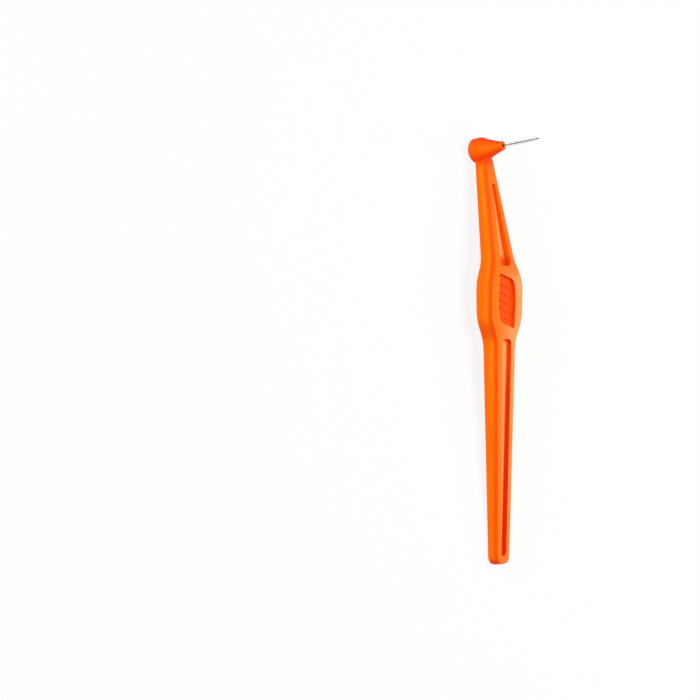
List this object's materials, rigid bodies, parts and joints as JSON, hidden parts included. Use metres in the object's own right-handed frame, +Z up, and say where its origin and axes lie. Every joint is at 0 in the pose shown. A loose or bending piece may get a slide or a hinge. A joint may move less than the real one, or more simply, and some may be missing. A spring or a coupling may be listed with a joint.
{
  "type": "interdental brush",
  "caption": "Long-handled interdental brush: flat moulded handle with a thumb recess and grooves, round head with a conical nose, and a folded, twisted wire that holds fine filaments.",
  "frame": {"origin": "middle of the part's box, on the surface that it lies on", "axes": "+X from the head to the tail of the handle, +Z up and away from the table, close to the direction of the wire"},
  "size_m": [0.1502, 0.02, 0.0289],
  "materials": {
    "handle_plastic": "satin moulded polypropylene, orange",
    "wire_steel": "drawn stainless steel wire",
    "filament_nylon": "translucent white nylon"
  },
  "bodies": {
    "handle": {"handle": "handle_plastic"},
    "brush": {"wire_core": "wire_steel", "filament_row_01": "filament_nylon", "filament_row_02": "filament_nylon", "filament_row_03": "filament_nylon", "filament_row_04": "filament_nylon", "filament_row_05": "filament_nylon", "filament_row_06": "filament_nylon", "filament_row_07": "filament_nylon", "filament_row_08": "filament_nylon", "filament_row_09": "filament_nylon", "filament_row_10": "filament_nylon", "filament_row_11": "filament_nylon", "filament_row_12": "filament_nylon"}
  },
  "joints": [
    {"name": "wire_bend", "type": "hinge", "parent": "handle", "child": "brush", "pos_m": [-0.0715, 0, 0.01436], "axis": [0, 1, 0], "range_deg": [-25, 25], "stiffness_Nm_per_rad": 0.006, "deforming": ["wire_core"]}
  ]
}
